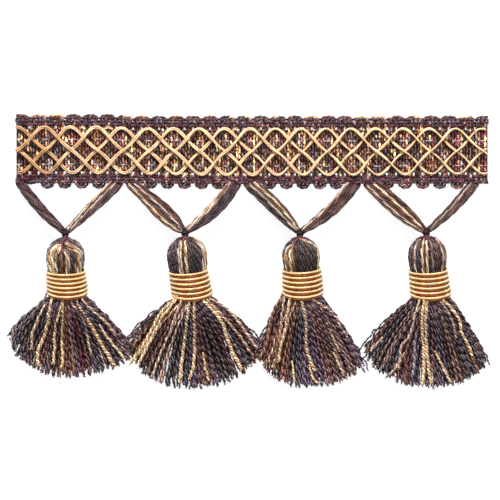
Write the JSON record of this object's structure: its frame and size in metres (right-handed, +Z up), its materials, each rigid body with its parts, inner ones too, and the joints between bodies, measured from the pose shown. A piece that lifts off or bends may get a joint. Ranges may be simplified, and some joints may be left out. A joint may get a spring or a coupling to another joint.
{
  "type": "tassel fringe trim",
  "caption": "Furnishing trim: woven heading with looped edges and gold gimp cords crossing in a trellis, hung with domed tassels on yarn bundles, each with a wound collar and fanned skirt.",
  "frame": {"origin": "middle of the heading's flat back, in the plane that the whole trim lies on", "axes": "+X along the heading, +Y across it and away from the tassels, +Z up out of the trim's face"},
  "size_m": [0.1722, 0.0996, 0.0148],
  "materials": {
    "heading_braid": "woven plum and navy yarn, satin",
    "gimp_cord": "twisted gold cord, satin",
    "mixed_yarn": "two-ply navy, plum, gold and rust yarn, satin",
    "collar_cord": "wound gold cord, satin",
    "tie_thread": "wound plum thread, satin"
  },
  "bodies": {
    "root": {"heading": "heading_braid", "gimp_cord_1": "gimp_cord", "gimp_cord_2": "gimp_cord", "gimp_cord_3": "gimp_cord", "gimp_cord_4": "gimp_cord", "bundle_1_left": "mixed_yarn", "bundle_1_right": "mixed_yarn", "bundle_2_left": "mixed_yarn", "bundle_2_right": "mixed_yarn", "bundle_3_left": "mixed_yarn", "bundle_3_right": "mixed_yarn", "bundle_4_left": "mixed_yarn", "bundle_4_right": "mixed_yarn", "knot_1": "tie_thread", "knot_2": "tie_thread", "knot_3": "tie_thread", "knot_4": "tie_thread", "tassel_1": "mixed_yarn", "tassel_2": "mixed_yarn", "tassel_3": "mixed_yarn", "tassel_4": "mixed_yarn", "collar_1": "collar_cord", "collar_2": "collar_cord", "collar_3": "collar_cord", "collar_4": "collar_cord"}
  },
  "joints": []
}
